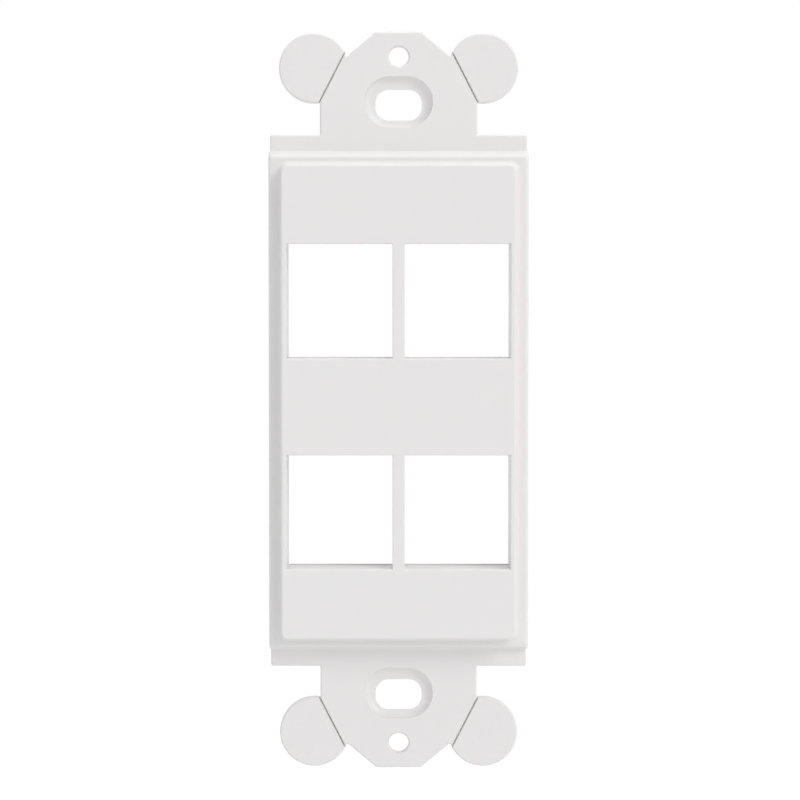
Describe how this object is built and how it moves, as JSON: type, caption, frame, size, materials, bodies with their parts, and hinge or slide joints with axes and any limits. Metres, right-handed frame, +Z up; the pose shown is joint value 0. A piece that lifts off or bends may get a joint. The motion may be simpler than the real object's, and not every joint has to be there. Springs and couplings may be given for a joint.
{
  "type": "keystone module frame",
  "caption": "Flat moulded wallplate insert with square snap-in ports for keystone jacks, slotted screw tabs and round break-off ears",
  "frame": {"origin": "midway between the two box screw slots, on the strap's rear face, which lies on the wall", "axes": "+X to the right as seen from the front, +Y into the wall, +Z up"},
  "size_m": [0.0364, 0.0097, 0.1038],
  "materials": {
    "white_abs": "fine satin mould finish"
  },
  "bodies": {
    "root": {"module_frame": "white_abs"}
  },
  "joints": []
}
